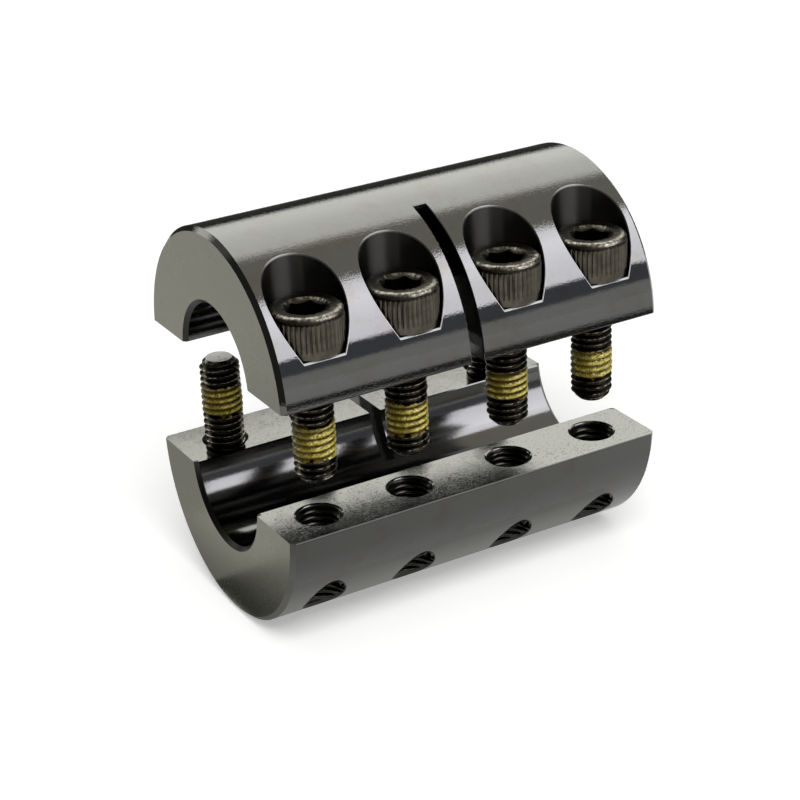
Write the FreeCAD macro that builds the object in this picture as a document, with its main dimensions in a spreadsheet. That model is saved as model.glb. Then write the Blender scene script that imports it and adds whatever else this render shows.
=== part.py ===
import FreeCAD, Part
import math
import os
import Sketcher

# Rigid clamp coupling for two shaft ends, split lengthways into two like halves and drawn opened:
# the upper half is lifted straight off the lower one, with its screws hanging in their holes.
# X runs along the shafts, Y to the back and Z up, in millimetres, and the origin is the middle of
# the lower half's bore axis. The upper half is the lower one turned half a turn about X.

DOCUMENT_NAME = "shaft_coupling"
SHEET_NAME = "Sizes"

# Alias, value and meaning of each size that is set by itself.
SIZES = (
    ("body_diameter", 34.0, "outside diameter of the closed coupling"),
    ("body_length", 50.0, "length along the shafts"),
    ("bore_diameter", 16.0, "shaft bore"),
    ("saw_gap", 1.6, "gap between the two split faces when the coupling is closed"),
    ("open_lift", 14.2, "height of the opened upper half above its closed place"),
    ("slot_width", 1.6, "width of the cross slot that parts the two clamping ears"),
    ("slot_start", 4.9, "distance from the middle plane at which the cross slot begins"),
    ("end_chamfer", 0.55, "chamfer round the outside at both ends"),
    ("bore_chamfer", 0.5, "chamfer round the bore at both ends"),
    ("edge_break", 0.12, "breaking of the sharp edges"),
    ("row_inset", 0.4, "screw rows, inwards of the middle of the wall"),
    ("ear_margin", 6.05, "screw axis to the nearest end of its clamping ear"),
    ("seat_height", 5.8, "screw head's seat above the shaft axis"),
    ("thread_diameter", 5.0, "outside diameter of the screw thread"),
    ("screw_length", 16.0, "screw length below the head"),
    ("tip_chamfer", 0.75, "chamfer at the screw's tip"),
    ("head_diameter", 8.5, "screw head"),
    ("head_height", 5.0, "height of the screw head"),
    ("head_chamfer", 0.4, "chamfer round the top of the head"),
    ("head_foot", 0.2, "chamfer round the foot of the head"),
    ("hex_width", 4.0, "hexagon socket across its flats"),
    ("hex_depth", 2.6, "depth of the hexagon socket"),
    ("head_gap", 0.35, "play between a screw head and its counterbore"),
    ("shank_gap", 0.25, "play between a thread and its clearance hole"),
    ("tapped_gap", 0.05, "play between a thread and the wall of its tapped hole"),
    ("mouth_chamfer", 0.2, "countersink at the mouth of a tapped hole"),
    ("patch_length", 3.9, "length of the nylon locking patch"),
    ("patch_from_tip", 3.0, "screw tip to the nylon patch"),
    ("patch_thickness", 0.35, "nylon patch, from the thread's crest inwards"),
    ("patch_gap", 0.02, "play between the nylon patch and the core of its screw"),
)

# Sizes that follow from the ones above, as expressions on the sheet.
BODY_RADIUS = "(Sizes.body_diameter / 2)"
BORE_RADIUS = "(Sizes.bore_diameter / 2)"
SPLIT_HEIGHT = "(Sizes.saw_gap / 2)"
THREAD_RADIUS = "(Sizes.thread_diameter / 2)"
HEAD_RADIUS = "(Sizes.head_diameter / 2)"
TAPPED_RADIUS = "(Sizes.thread_diameter / 2 + Sizes.tapped_gap)"
SHANK_HOLE_RADIUS = "(Sizes.thread_diameter / 2 + Sizes.shank_gap)"
COUNTERBORE_RADIUS = "(Sizes.head_diameter / 2 + Sizes.head_gap)"
ROW_OFFSET = "((Sizes.body_diameter + Sizes.bore_diameter) / 4 - Sizes.row_inset)"
OUTER_SCREW = "(Sizes.body_length / 2 - Sizes.ear_margin)"
INNER_SCREW = "(Sizes.slot_width / 2 + Sizes.ear_margin)"
SCREW_PLACES = ("-" + OUTER_SCREW, "-" + INNER_SCREW, INNER_SCREW, OUTER_SCREW)

# Heights on a screw from its seat, which is zero, down to the tip.
TIP = "-Sizes.screw_length"
PATCH_FOOT = "-(Sizes.screw_length - Sizes.patch_from_tip)"
PATCH_TOP = "-(Sizes.screw_length - Sizes.patch_from_tip - Sizes.patch_length)"
PATCH_CORE = "(Sizes.thread_diameter / 2 - Sizes.patch_thickness)"

HEX_SIDES = 6
PARTS_FOLDER = "parts"
ORIGIN_INDEXES = (-1, 1)
ACROSS_AXIS_INDEX = -1
UP_AXIS_INDEX = -2
CENTRE_INDEX = 3
ON_AXIS = "0"
NEAR = 1e-4

doc = FreeCAD.newDocument(DOCUMENT_NAME)


def make_sheet():
    """Writes the sizes into the sheet, one row each, with the meaning beside the value."""
    sheet = doc.addObject("Spreadsheet::Sheet", SHEET_NAME)
    for row, (alias, number, meaning) in enumerate(SIZES, start=1):
        sheet.set(f"A{row}", str(number))
        sheet.setAlias(f"A{row}", alias)
        sheet.set(f"B{row}", meaning)
    doc.recompute()
    return sheet


sheet = make_sheet()


def value(expression):
    """The number that an expression on the sheet gives."""
    return float(sheet.evalExpression(expression))


def origin_plane(body, role):
    """The body's own origin plane with this role."""
    for feature in body.Origin.OriginFeatures:
        if feature.Role == role:
            return feature
    raise ValueError(role)


def make_sketch(body, name, plane, height=None):
    """A sketch on one of the body's origin planes, raised along the plane's normal if asked."""
    sketch = body.newObject("Sketcher::SketchObject", name)
    sketch.AttachmentSupport = [(origin_plane(body, plane), "")]
    sketch.MapMode = "FlatFace"
    if height is not None:
        sketch.setExpression("AttachmentOffset.Base.z", height)
    return sketch


def bind(sketch, kind, places, expression):
    """Adds a dimension to a sketch, with its number bound to the sheet."""
    index = sketch.addConstraint(Sketcher.Constraint(kind, *places, value(expression)))
    name = f"{kind.lower()}_{index}"
    sketch.renameConstraint(index, name)
    sketch.setExpression(f"Constraints.{name}", expression)


def add_circle(sketch, across, along, radius):
    """A circle whose centre and radius follow the sheet."""
    centre = FreeCAD.Vector(value(across), value(along), 0)
    circle = sketch.addGeometry(Part.Circle(centre, FreeCAD.Vector(0, 0, 1), value(radius)))
    bind(sketch, "Radius", (circle,), radius)
    bind(sketch, "DistanceX", (*ORIGIN_INDEXES, circle, CENTRE_INDEX), across)
    bind(sketch, "DistanceY", (*ORIGIN_INDEXES, circle, CENTRE_INDEX), along)


def add_outline(sketch, points):
    """A closed outline of straight lines; each corner's place is a pair of expressions."""
    corners = [FreeCAD.Vector(value(across), value(along), 0) for across, along in points]
    lines = []
    for start, end in zip(corners, corners[1:] + corners[:1]):
        lines.append(sketch.addGeometry(Part.LineSegment(start, end)))
    for line, following in zip(lines, lines[1:] + lines[:1]):
        sketch.addConstraint(Sketcher.Constraint("Coincident", line, 2, following, 1))
    for line, (across, along) in zip(lines, points):
        parts = (("DistanceX", UP_AXIS_INDEX, across), ("DistanceY", ACROSS_AXIS_INDEX, along))
        for kind, axis, expression in parts:
            if expression == ON_AXIS:
                sketch.addConstraint(Sketcher.Constraint("PointOnObject", line, 1, axis))
            else:
                bind(sketch, kind, (*ORIGIN_INDEXES, line, 1), expression)


def edges_where(shape, wanted):
    """Names of the shape's edges that the test accepts."""
    return [f"Edge{number}" for number, edge in enumerate(shape.Edges, start=1) if wanted(edge)]


def dress(body, kind, name, wanted, size):
    """A chamfer or fillet on the edges of the body that the test accepts."""
    base = body.Tip
    names = edges_where(base.Shape, wanted)
    if not names:
        raise RuntimeError(f"{name} found no edge")
    feature = body.newObject(f"PartDesign::{kind}", name)
    feature.Base = (base, names)
    feature.setExpression("Size" if kind == "Chamfer" else "Radius", size)
    doc.recompute()
    return feature


def check_cut(name, before, after):
    """Stops if a cut took nothing away."""
    if after > before - NEAR:
        raise RuntimeError(f"{name} cut nothing")


def cut_up(body, name, sketch):
    """A pocket from the sketch upwards through everything above it."""
    before = body.Shape.Volume
    pocket = body.newObject("PartDesign::Pocket", name)
    pocket.Profile = sketch
    pocket.Type = "ThroughAll"
    pocket.Reversed = True
    doc.recompute()
    check_cut(name, before, body.Shape.Volume)


def is_flat_at(edge, height):
    """True for an edge that lies wholly at this height."""
    box = edge.BoundBox
    return abs(box.ZMin - height) < NEAR and abs(box.ZMax - height) < NEAR


def is_circle(edge, radius):
    """True for a round edge of this radius, whole or part."""
    return edge.Curve.TypeId == "Part::GeomCircle" and abs(edge.Curve.Radius - radius) < NEAR


def outside_points(edge, radius):
    """Three points along an edge of the outer cylinder, or none for any other edge."""
    middle = (edge.FirstParameter + edge.LastParameter) / 2
    points = [edge.valueAt(parameter) for parameter in (edge.FirstParameter, middle, edge.LastParameter)]
    on_cylinder = all(abs(math.hypot(point.y, point.z) - radius) < NEAR for point in points)
    return points if on_cylinder else []


def is_rim(edge, body_radius, row, hole_radius):
    """True for an edge of the outer cylinder that bounds a hole of this row."""
    points = outside_points(edge, body_radius)
    for place in SCREW_PLACES:
        reach = hole_radius + NEAR
        if points and all(math.hypot(point.x - value(place), point.y - row) < reach for point in points):
            return True
    return False


def make_section(body, name):
    """The half ring that runs the whole length: two arcs, and the two feet of the split face."""
    section = make_sketch(body, name, "YZ_Plane")
    split = value(SPLIT_HEIGHT)
    arcs = []
    reaches = []
    for radius_expression in (BODY_RADIUS, BORE_RADIUS):
        radius = value(radius_expression)
        start = math.asin(split / radius)
        circle = Part.Circle(FreeCAD.Vector(0, 0, 0), FreeCAD.Vector(0, 0, 1), radius)
        arc = section.addGeometry(Part.ArcOfCircle(circle, start, math.pi - start))
        section.addConstraint(Sketcher.Constraint("Coincident", arc, CENTRE_INDEX, *ORIGIN_INDEXES))
        bind(section, "Radius", (arc,), radius_expression)
        arcs.append(arc)
        reaches.append(math.sqrt(radius**2 - split**2))
    for arc_end, side in ((1, 1), (2, -1)):
        ends = [FreeCAD.Vector(side * reach, split, 0) for reach in reaches]
        foot = section.addGeometry(Part.LineSegment(*ends))
        for foot_end, arc in enumerate(arcs, start=1):
            section.addConstraint(Sketcher.Constraint("Coincident", foot, foot_end, arc, arc_end))
        section.addConstraint(Sketcher.Constraint("Horizontal", foot))
        bind(section, "DistanceY", (*ORIGIN_INDEXES, foot, 1), SPLIT_HEIGHT)
    return section


def cut_holes(body, name, row, radius, height=None):
    """Four holes of one screw row, straight up from the middle plane or from a height above it."""
    circles = make_sketch(body, f"{name}_circles", "XY_Plane", height)
    for place in SCREW_PLACES:
        add_circle(circles, place, row, radius)
    cut_up(body, name, circles)


def cut_cross_slot(body, name):
    """The saw cut across the clamping side, from the bore out through the outside."""
    outline = make_sketch(body, f"{name}_outline", "XY_Plane")
    side, near, far = "Sizes.slot_width / 2", "-Sizes.slot_start", "-Sizes.body_diameter"
    add_outline(outline, ((f"-{side}", near), (side, near), (side, far), (f"-{side}", far)))
    cut_up(body, name, outline)


def make_half(label):
    """One half with its split face down: counterbored holes in front, tapped holes behind."""
    body = doc.addObject("PartDesign::Body", label)
    outer, bore, split = value(BODY_RADIUS), value(BORE_RADIUS), value(SPLIT_HEIGHT)
    end, slot_side = value("Sizes.body_length / 2"), value("Sizes.slot_width / 2")

    pad = body.newObject("PartDesign::Pad", f"{label}_length")
    pad.Profile = make_section(body, f"{label}_section")
    pad.Midplane = True
    pad.setExpression("Length", "Sizes.body_length")
    doc.recompute()

    def is_long_split_edge(edge):
        return is_flat_at(edge, split) and edge.BoundBox.XLength > end

    def is_outer_end(edge):
        return is_circle(edge, outer) and abs(abs(edge.Curve.Center.x) - end) < NEAR

    def is_bore_end(edge):
        return is_circle(edge, bore) and abs(abs(edge.Curve.Center.x) - end) < NEAR

    def is_slot_rim(edge):
        points = outside_points(edge, outer)
        return bool(points) and all(abs(point.x) < slot_side + NEAR for point in points)

    def is_tapped_mouth(edge):
        return is_circle(edge, value(TAPPED_RADIUS)) and is_flat_at(edge, split)

    def is_shank_mouth(edge):
        return is_circle(edge, value(SHANK_HOLE_RADIUS)) and is_flat_at(edge, split)

    def is_front_rim(edge):
        return is_rim(edge, outer, -value(ROW_OFFSET), value(COUNTERBORE_RADIUS))

    def is_back_rim(edge):
        return is_rim(edge, outer, value(ROW_OFFSET), value(TAPPED_RADIUS))

    dress(body, "Chamfer", f"{label}_long_edges", is_long_split_edge, "Sizes.edge_break")
    dress(body, "Chamfer", f"{label}_ends", is_outer_end, "Sizes.end_chamfer")
    dress(body, "Chamfer", f"{label}_bore_ends", is_bore_end, "Sizes.bore_chamfer")
    cut_holes(body, f"{label}_counterbores", "-" + ROW_OFFSET, COUNTERBORE_RADIUS, "Sizes.seat_height")
    cut_holes(body, f"{label}_shank_holes", "-" + ROW_OFFSET, SHANK_HOLE_RADIUS)
    cut_holes(body, f"{label}_tapped_holes", ROW_OFFSET, TAPPED_RADIUS)
    cut_cross_slot(body, f"{label}_cross_slot")
    dress(body, "Chamfer", f"{label}_tapped_mouths", is_tapped_mouth, "Sizes.mouth_chamfer")
    dress(body, "Chamfer", f"{label}_counterbore_rims", is_front_rim, "Sizes.edge_break")
    dress(body, "Fillet", f"{label}_slot_rims", is_slot_rim, "Sizes.edge_break")
    dress(body, "Fillet", f"{label}_tapped_exits", is_back_rim, "Sizes.edge_break")
    dress(body, "Chamfer", f"{label}_shank_mouths", is_shank_mouth, "Sizes.edge_break")
    return body


def revolve(body, name, profile):
    """Turns a profile, given as distances from the axis and heights, about the body's upright axis."""
    outline = make_sketch(body, f"{name}_profile", "XZ_Plane")
    add_outline(outline, profile)
    turned = body.newObject("PartDesign::Revolution", name)
    turned.Profile = outline
    turned.ReferenceAxis = (outline, ["V_Axis"])
    doc.recompute()


def cut_hex_socket(body, name):
    """The hexagon socket, down from the top of the head."""
    outline = make_sketch(body, f"{name}_outline", "XY_Plane", "Sizes.head_height")
    corner = "Sizes.hex_width / sqrt(3)"
    turns = [f"{360 * side / HEX_SIDES} deg" for side in range(HEX_SIDES)]
    add_outline(outline, [(f"{corner} * cos({turn})", f"{corner} * sin({turn})") for turn in turns])
    before = body.Shape.Volume
    pocket = body.newObject("PartDesign::Pocket", name)
    pocket.Profile = outline
    pocket.setExpression("Length", "Sizes.hex_depth")
    doc.recompute()
    check_cut(name, before, body.Shape.Volume)


def make_screw(label):
    """A socket head screw that stands on its seat at zero, with a turned recess for its nylon patch."""
    body = doc.addObject("PartDesign::Body", label)
    profile = (
        (ON_AXIS, "Sizes.head_height"),
        (f"{HEAD_RADIUS} - Sizes.head_chamfer", "Sizes.head_height"),
        (HEAD_RADIUS, "Sizes.head_height - Sizes.head_chamfer"),
        (HEAD_RADIUS, "Sizes.head_foot"),
        (f"{HEAD_RADIUS} - Sizes.head_foot", ON_AXIS),
        (THREAD_RADIUS, ON_AXIS),
        (THREAD_RADIUS, PATCH_TOP),
        (PATCH_CORE, PATCH_TOP),
        (PATCH_CORE, PATCH_FOOT),
        (THREAD_RADIUS, PATCH_FOOT),
        (THREAD_RADIUS, f"{TIP} + Sizes.tip_chamfer"),
        (f"{THREAD_RADIUS} - Sizes.tip_chamfer", TIP),
        (ON_AXIS, TIP),
    )
    revolve(body, f"{label}_turned", profile)
    cut_hex_socket(body, f"{label}_hex_socket")
    return body


def make_patch(label):
    """The nylon ring that fills the recess of a screw and ends flush with the thread's crest."""
    body = doc.addObject("PartDesign::Body", label)
    inner = f"{PATCH_CORE} + Sizes.patch_gap"
    profile = (
        (inner, PATCH_TOP),
        (THREAD_RADIUS, PATCH_TOP),
        (THREAD_RADIUS, PATCH_FOOT),
        (inner, PATCH_FOOT),
    )
    revolve(body, f"{label}_turned", profile)
    return body


def turn_over(body):
    """Turns a body half a turn about the shaft direction, from the upper half's way up to the lower's."""
    half_turn = FreeCAD.Rotation(FreeCAD.Vector(1, 0, 0), 180)
    body.Placement = FreeCAD.Placement(FreeCAD.Vector(0, 0, 0), half_turn)


def put(body, across, along, height):
    """Ties the body's place to the sheet."""
    for axis, expression in (("x", across), ("y", along), ("z", height)):
        body.setExpression(f"Placement.Base.{axis}", expression)


def make_screw_set(row, number, place):
    """A screw and its nylon patch, seated in the half that holds its head."""
    pieces = [make_screw(f"{row}_screw_{number}"), make_patch(f"{row}_patch_{number}")]
    for piece in pieces:
        if row == "front":
            put(piece, place, "-" + ROW_OFFSET, "Sizes.open_lift + Sizes.seat_height")
        else:
            turn_over(piece)
            put(piece, place, ROW_OFFSET, "-Sizes.seat_height")
    return pieces


def make_coupling():
    """Both halves and both rows of screws, in the opened state."""
    upper = make_half("upper_half")
    put(upper, "0", "0", "Sizes.open_lift")
    lower = make_half("lower_half")
    turn_over(lower)
    pieces = [upper, lower]
    for row in ("front", "rear"):
        for number, place in enumerate(SCREW_PLACES, start=1):
            pieces += make_screw_set(row, number, place)
    doc.recompute()
    return pieces


def check_model(pieces):
    """Stops if anything in the document failed, or a piece isn't one sound solid."""
    for item in doc.Objects:
        if "Invalid" in item.State or "Error" in item.State:
            raise RuntimeError(f"{item.Name} failed: {item.State}")
    for piece in pieces:
        shape = piece.Shape
        if shape.isNull() or not shape.isValid() or len(shape.Solids) != 1:
            raise RuntimeError(f"{piece.Label} isn't one sound solid")


def write_pieces(pieces):
    """Writes each piece where it stands, in a file that its label names."""
    os.makedirs(PARTS_FOLDER, exist_ok=True)
    for piece in pieces:
        piece.Shape.exportStep(f"{PARTS_FOLDER}/{piece.Label}.step")
        print(f"{piece.Label}: {piece.Shape.Volume:.2f} cubic mm")


pieces = make_coupling()
check_model(pieces)
write_pieces(pieces)
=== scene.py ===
"""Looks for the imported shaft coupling: screws with rolled threads and knurled heads, nylon locking patches,
cut threads in the tapped holes, black oxide steel, a pale floor and studio light. Lengths are in metres."""

import math
from collections import namedtuple

import bmesh
import bpy
import numpy as np
from mathutils import Matrix, Vector, noise


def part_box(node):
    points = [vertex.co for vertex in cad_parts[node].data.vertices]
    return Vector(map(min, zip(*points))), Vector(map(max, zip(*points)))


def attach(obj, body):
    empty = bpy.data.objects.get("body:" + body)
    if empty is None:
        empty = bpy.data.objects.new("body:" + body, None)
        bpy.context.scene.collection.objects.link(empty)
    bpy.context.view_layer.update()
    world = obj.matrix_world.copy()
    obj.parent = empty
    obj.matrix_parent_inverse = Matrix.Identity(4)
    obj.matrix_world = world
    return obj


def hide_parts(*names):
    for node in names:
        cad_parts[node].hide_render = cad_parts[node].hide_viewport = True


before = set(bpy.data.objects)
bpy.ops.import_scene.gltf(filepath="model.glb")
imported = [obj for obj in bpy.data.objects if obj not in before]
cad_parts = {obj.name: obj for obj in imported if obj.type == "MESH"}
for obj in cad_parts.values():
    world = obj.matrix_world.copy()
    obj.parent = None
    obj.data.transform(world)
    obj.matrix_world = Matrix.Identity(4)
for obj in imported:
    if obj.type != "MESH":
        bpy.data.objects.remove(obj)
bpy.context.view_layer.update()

MM = 0.001
FULL_TURN = 2 * math.pi

# Sizes read from the frame
LOWER_LOW, LOWER_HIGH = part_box("lower_half")
BODY_RADIUS = -LOWER_LOW.z
HALF_LENGTH = LOWER_HIGH.x
SPLIT_HEIGHT = -LOWER_HIGH.z
FLOOR = LOWER_LOW.z
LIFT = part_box("upper_half")[1].z - BODY_RADIUS
SCREW_LOW, SCREW_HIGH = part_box("front_screw_1")
HEAD_RADIUS = (SCREW_HIGH.x - SCREW_LOW.x) / 2
ROW_OFFSET = -(SCREW_HIGH.y + SCREW_LOW.y) / 2
FAR_SCREW = -(SCREW_HIGH.x + SCREW_LOW.x) / 2
NEAR_SCREW = -sum(corner.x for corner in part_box("front_screw_2")) / 2
PATCH_LOW, PATCH_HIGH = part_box("front_patch_1")

# Holes: the walls that the solids have, and the hidden back of the cut threads
BORE_RADIUS = 8.0 * MM
CLEARANCE_RADIUS = 2.75 * MM
COUNTERBORE_RADIUS = 4.6 * MM
TAPPED_RADIUS = 2.55 * MM
TAPPED_END = 2.59 * MM
TAPPED_BACK = 2.66 * MM
TAPPED_POINTS = 48

# Screw, measured from the seat of its head with the head upwards
HEAD_HEIGHT = 5.0 * MM
SCREW_LENGTH = SCREW_HIGH.z - SCREW_LOW.z - HEAD_HEIGHT
SEAT_HEIGHT = SCREW_HIGH.z - HEAD_HEIGHT - LIFT
PATCH_FOOT = PATCH_LOW.z - SCREW_HIGH.z + HEAD_HEIGHT
PATCH_TOP = PATCH_HIGH.z - SCREW_HIGH.z + HEAD_HEIGHT
KNURLS = 45
KNURL_DEPTH = 0.12 * MM
KNURL_HALF_WIDTH = 0.26
POINTS_PER_KNURL = 8
HEAD_POINTS = KNURLS * POINTS_PER_KNURL
HEAD_FOOT_RADIUS = HEAD_RADIUS - 0.22 * MM
HEX_APOTHEM = 2.0 * MM
HEX_DEPTH = 2.6 * MM
SOCKET_MOUTH = HEAD_RADIUS - 1.65 * MM
SOCKET_LIP_DEPTH = 0.05 * MM
SOCKET_LIP_SLOPE = 0.75
SOCKET_FLOOR_RADIUS = 1.7 * MM
DRILL_POINT_DEPTH = 0.75 * MM
HEAD_UNEVEN_OUTWARD = 0.05 * MM
HEAD_UNEVEN_UPWARD = 0.06 * MM

# Rows of the head from its foot to the mouth of its socket: height above the seat and distance inside the
# head's outline, both in millimetres, then the share of the knurl's depth and of the unevenness
HEAD_ROWS = (
    (0.20, 0.02, 0.0, 0.0),
    (0.85, 0.03, 0.0, 0.15),
    (0.98, 0.02, 0.15, 0.15),
    (1.15, 0.0, 1.0, 0.1),
    (2.20, 0.0, 1.0, 0.1),
    (3.30, 0.0, 1.0, 0.1),
    (4.05, 0.0, 1.0, 0.15),
    (4.20, 0.05, 0.3, 0.2),
    (4.32, 0.13, 0.0, 0.3),
    (4.50, 0.13, 0.0, 0.4),
    (4.58, 0.06, 0.0, 0.6),
    (4.70, 0.10, 0.0, 0.9),
    (4.86, 0.24, 0.0, 1.0),
    (4.96, 0.42, 0.0, 1.0),
    (5.00, 0.60, 0.0, 0.9),
    (4.99, 0.85, 0.0, 0.4),
    (4.99, 1.40, 0.0, 0.5),
    (4.95, 1.65, 0.0, 0.7),
)

# Threads: shares of the pitch in one turn, and the radius at each
PITCH = 0.8 * MM
THREAD_POINTS = 60
THREAD_SHARES = (0.00, 0.06, 0.33, 0.40, 0.50, 0.60, 0.67, 0.94)
SCREW_CREST = 2.465 * MM
SCREW_THREAD = (SCREW_CREST, *(radius * MM for radius in (2.45, 2.07, 2.02, 2.00, 2.02, 2.07, 2.45)))
TAPPED_THREAD = tuple(radius * MM for radius in (2.58, 2.56, 2.25, 2.21, 2.20, 2.21, 2.25, 2.56))
NECK_RADIUS = 2.05 * MM
RUNOUT_START = -0.4 * MM
RUNOUT_END = -1.4 * MM
THREAD_UNEVEN = 0.03 * MM

# Tip: radius where its chamfer starts, the rings of its face with their rise, and its middle's rise
TIP_RADIUS = 1.60 * MM
TIP_RINGS = ((1.48 * MM, -0.01 * MM), (1.1 * MM, 0.03 * MM), (0.6 * MM, 0.02 * MM))
TIP_RISE = 0.05 * MM

# Nylon: coat on the crests, lumps on it and its largest radius; bare places and both ends hide in the thread
NYLON_COAT = 0.045 * MM
NYLON_LUMPS = 0.035 * MM
NYLON_LARGEST = 2.535 * MM
NYLON_BURIED = 0.05 * MM
NYLON_END_RADIUS = 1.9 * MM
NYLON_MARGIN = 0.7 * MM
NYLON_RAGGED_WIDE = 0.32 * MM
NYLON_RAGGED_FINE = 0.2 * MM
NYLON_THIN_EDGE = 0.16 * MM

# For each screw: its turn about its own axis in degrees, how much higher than the CAD patch its nylon's foot
# and top lie, the share of the grooves that the nylon fills, and the seed of its unevenness
Style = namedtuple("Style", "turn foot top fill seed")
SCREW_STYLES = {
    "front_screw_1": Style(20, -0.1 * MM, 0.35 * MM, 0.45, 1),
    "front_screw_2": Style(140, -0.2 * MM, -0.1 * MM, 0.40, 2),
    "front_screw_3": Style(255, 0.5 * MM, 0.1 * MM, 0.36, 3),
    "front_screw_4": Style(80, 0.2 * MM, -0.3 * MM, 0.50, 4),
    "rear_screw_1": Style(35, 0.3 * MM, 0.2 * MM, 0.36, 5),
    "rear_screw_2": Style(200, 0.0, 0.0, 0.40, 6),
    "rear_screw_3": Style(310, 0.1 * MM, 0.2 * MM, 0.46, 7),
    "rear_screw_4": Style(100, -0.1 * MM, 0.0, 0.34, 8),
}

# Camera, in the photograph's frame of 800 by 800 pixels
FRAME_PIXELS = 800
FOCAL_PIXELS = 2121.7
SENSOR = 36.0
VIEW_AZIMUTH = math.radians(-29.37)
VIEW_ELEVATION = math.radians(24.93)
VIEW_ROLL = math.radians(-2.54)
VIEW_DISTANCE = 259.95 * MM
VIEW_SHIFT_RIGHT = -0.90 * MM
VIEW_SHIFT_UP = 3.50 * MM


def add_object(name, data):
    """An object in the scene that carries this data."""
    thing = bpy.data.objects.new(name, data)
    bpy.context.scene.collection.objects.link(thing)
    return thing


def make_camera():
    """The camera at the photograph's place, with the photograph's small roll."""
    tilt = math.cos(VIEW_ELEVATION)
    back = Vector((math.sin(VIEW_AZIMUTH) * tilt, -math.cos(VIEW_AZIMUTH) * tilt, math.sin(VIEW_ELEVATION)))
    right = (-back).cross(Vector((0, 0, 1))).normalized()
    up = back.cross(right)
    turned_right = math.cos(VIEW_ROLL) * right + math.sin(VIEW_ROLL) * up
    turned_up = math.cos(VIEW_ROLL) * up - math.sin(VIEW_ROLL) * right
    place = back * VIEW_DISTANCE + turned_right * VIEW_SHIFT_RIGHT + turned_up * VIEW_SHIFT_UP
    data = bpy.data.cameras.new("camera")
    data.sensor_width = SENSOR
    data.lens = FOCAL_PIXELS / FRAME_PIXELS * SENSOR
    data.clip_start = 0.01
    data.clip_end = 10
    camera = add_object("camera", data)
    axes = Matrix((turned_right, turned_up, back)).transposed().to_4x4()
    camera.matrix_world = Matrix.Translation(place) @ axes
    bpy.context.scene.camera = camera


# Node helpers

def add_node(tree, kind, **settings):
    """A node of this kind with its own settings."""
    node = tree.nodes.new("ShaderNode" + kind)
    for name, setting in settings.items():
        setattr(node, name, setting)
    return node


def plug(tree, source, target):
    """Joins an output to an input, or writes a plain value into the input."""
    if isinstance(source, bpy.types.NodeSocket):
        tree.links.new(source, target)
    elif source is not None:
        target.default_value = source


def plug_all(tree, sockets, values):
    """Joins or writes several inputs, each by its name or number."""
    for name, value in values.items():
        plug(tree, value, sockets[name])


def calculate(tree, operation, first, *others):
    """A Math node, or a chain of them where there are more than two values."""
    for other in others or (None,):
        node = add_node(tree, "Math", operation=operation)
        plug_all(tree, node.inputs, {0: first, 1: other})
        first = node.outputs[0]
    return first


def product(tree, *values):
    """All the values multiplied."""
    return calculate(tree, "MULTIPLY", *values)


def largest(tree, *values):
    """The largest of the values."""
    return calculate(tree, "MAXIMUM", *values)


def difference(tree, first, second):
    """The first value less the second."""
    return calculate(tree, "SUBTRACT", first, second)


def size_of(tree, value):
    """A value without its sign."""
    return calculate(tree, "ABSOLUTE", value)


def vector_calculate(tree, operation, first, second=None):
    """A Vector Math node."""
    node = add_node(tree, "VectorMath", operation=operation)
    plug_all(tree, node.inputs, {0: first, 1: second})
    return node.outputs["Value" if operation == "LENGTH" else "Vector"]


def split_vector(tree, vector):
    """The three numbers of a vector."""
    node = add_node(tree, "SeparateXYZ")
    plug(tree, vector, node.inputs[0])
    return node.outputs


def join_vector(tree, x, y, z):
    """A vector from three numbers."""
    node = add_node(tree, "CombineXYZ")
    plug_all(tree, node.inputs, {"X": x, "Y": y, "Z": z})
    return node.outputs[0]


def length_of(tree, first, second):
    """Distance from an axis, from the two numbers across it."""
    return vector_calculate(tree, "LENGTH", join_vector(tree, first, second, 0.0))


def fade(tree, value, start, end):
    """Zero at start and one at end, smooth between them and held outside."""
    node = add_node(tree, "MapRange", interpolation_type="SMOOTHSTEP")
    plug_all(tree, node.inputs, {"Value": value, "From Min": start, "From Max": end})
    return node.outputs["Result"]


def fade_at(tree, value, edge, start, end):
    """The same fade near an edge, with start and end in millimetres past it."""
    return fade(tree, value, edge + start * MM, edge + end * MM)


def remap(tree, value, low, high):
    """Spreads a mask of zero to one over another range."""
    node = add_node(tree, "MapRange")
    plug_all(tree, node.inputs, {"Value": value, "To Min": low, "To Max": high})
    return node.outputs["Result"]


def paint(tree, tone, *layers):
    """A colour with further colours laid over it, each as a pair of its mask and itself."""
    for mask, layer in layers:
        node = add_node(tree, "Mix", data_type="RGBA")
        plug_all(tree, node.inputs, {0: mask, 6: tone, 7: layer})
        tone = node.outputs[2]
    return tone


def cover(tree, value, *layers):
    """A value with further values laid over it, each as a pair of its mask and itself."""
    for mask, layer in layers:
        node = add_node(tree, "Mix", data_type="FLOAT")
        plug_all(tree, node.inputs, {0: mask, 2: value, 3: layer})
        value = node.outputs[0]
    return value


def noise_value(tree, vector, size, detail=2.0, roughness=0.6):
    """Noise between zero and one whose lumps are about this many millimetres across."""
    node = add_node(tree, "TexNoise")
    plug_all(tree, node.inputs, {"Vector": vector, "Scale": 1 / (size * MM), "Detail": detail,
                                 "Roughness": roughness})
    return node.outputs["Fac"]


def add_bump(tree, height, depth, normal=None):
    """A normal that follows the height, whose full swing is this depth."""
    node = add_node(tree, "Bump")
    plug_all(tree, node.inputs, {"Distance": depth, "Height": height, "Normal": normal})
    return node.outputs["Normal"]


def colour(red, green, blue):
    """A colour given by its bytes on a screen, as the linear numbers that nodes take."""
    linear = []
    for byte in (red, green, blue):
        share = byte / 255
        linear.append(share / 12.92 if share <= 0.04045 else ((share + 0.055) / 1.055) ** 2.4)
    return (*linear, 1.0)


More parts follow.
